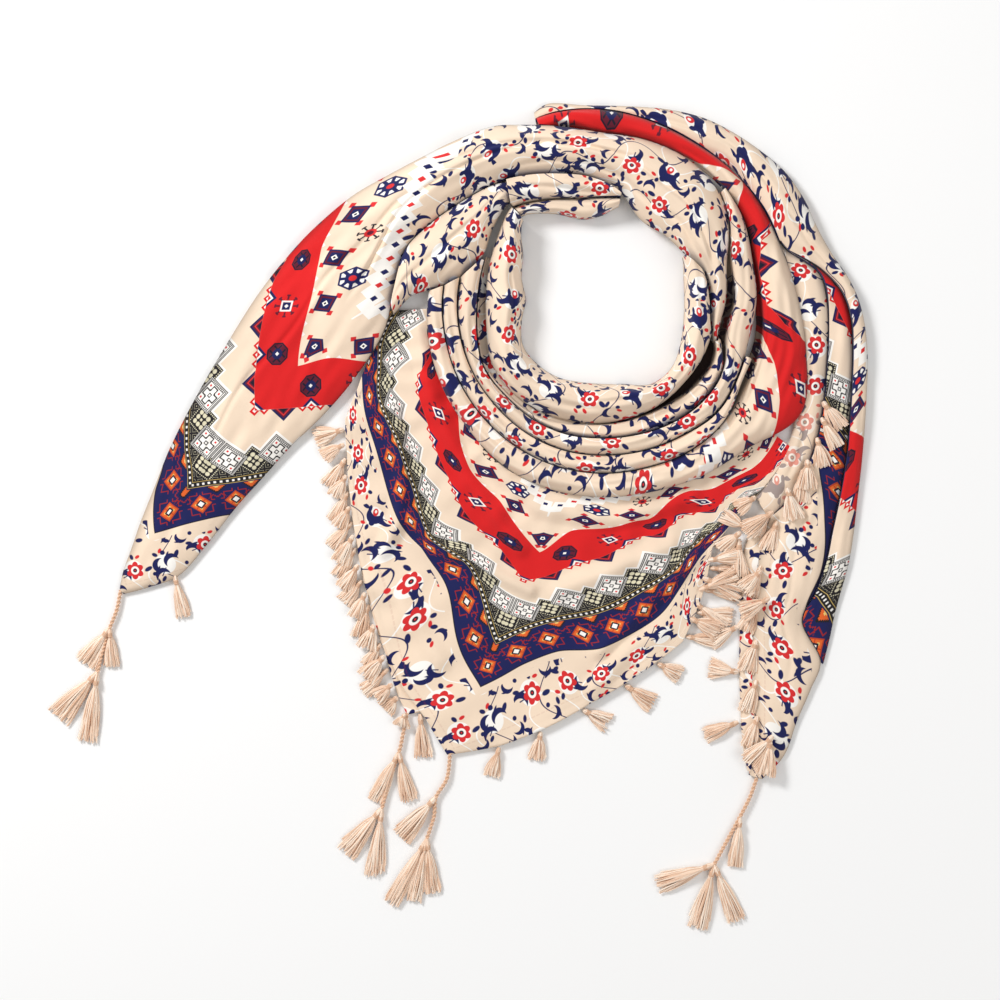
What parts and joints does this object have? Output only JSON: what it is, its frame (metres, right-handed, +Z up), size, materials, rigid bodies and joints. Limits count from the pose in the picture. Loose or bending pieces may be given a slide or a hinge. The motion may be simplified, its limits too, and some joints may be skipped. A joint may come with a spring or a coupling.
{
  "type": "square scarf, tasselled, looped and laid flat",
  "caption": "Square printed scarf folded corner to corner, wound into a neck loop and laid flat, with yarn tassels along its hems and at its corners.",
  "frame": {"origin": "middle of the part's outline on the surface that it lies on", "axes": "+Z up from the surface, -Y towards the hanging front corner, +X to the right as the scarf is seen from above"},
  "size_m": [0.4882, 0.4884, 0.0241],
  "materials": {
    "printed_cloth": "matt printed crepe weave",
    "tassel_yarn": "matt twisted yarn"
  },
  "bodies": {
    "root": {"tail_band": "printed_cloth", "cross_fold": "printed_cloth", "neck_fold_1": "printed_cloth", "back_fold_1": "printed_cloth", "back_fold_2": "printed_cloth", "neck_fold_2": "printed_cloth", "neck_fold_3": "printed_cloth", "neck_fold_4": "printed_cloth", "collar_band": "printed_cloth", "inner_wrap": "printed_cloth", "right_tail": "printed_cloth", "outer_wrap": "printed_cloth", "front_panel": "printed_cloth", "under_panel": "printed_cloth", "right_under": "printed_cloth", "front_tassel_1": "tassel_yarn", "front_tassel_2": "tassel_yarn", "front_tassel_3": "tassel_yarn", "front_tassel_4": "tassel_yarn", "front_tassel_5": "tassel_yarn", "front_tassel_6": "tassel_yarn", "front_tassel_7": "tassel_yarn", "front_tassel_8": "tassel_yarn", "front_tassel_9": "tassel_yarn", "front_tassel_10": "tassel_yarn", "front_tassel_11": "tassel_yarn", "front_tassel_12": "tassel_yarn", "front_tassel_13": "tassel_yarn", "front_tassel_14": "tassel_yarn", "front_tassel_15": "tassel_yarn", "front_tassel_16": "tassel_yarn", "front_tassel_17": "tassel_yarn", "front_tassel_18": "tassel_yarn", "front_tassel_19": "tassel_yarn", "front_tassel_20": "tassel_yarn", "front_tassel_21": "tassel_yarn", "right_tassel_1": "tassel_yarn", "right_tassel_2": "tassel_yarn", "right_tassel_3": "tassel_yarn", "right_tassel_4": "tassel_yarn", "right_tassel_5": "tassel_yarn", "right_tassel_6": "tassel_yarn", "right_tassel_7": "tassel_yarn", "right_tassel_8": "tassel_yarn", "right_tassel_9": "tassel_yarn", "right_tassel_10": "tassel_yarn", "right_tassel_11": "tassel_yarn", "right_tassel_12": "tassel_yarn", "right_tassel_13": "tassel_yarn", "corner_tassel_left": "tassel_yarn", "corner_tassel_under": "tassel_yarn", "corner_tassel_front": "tassel_yarn", "corner_tassel_right": "tassel_yarn"}
  },
  "joints": []
}
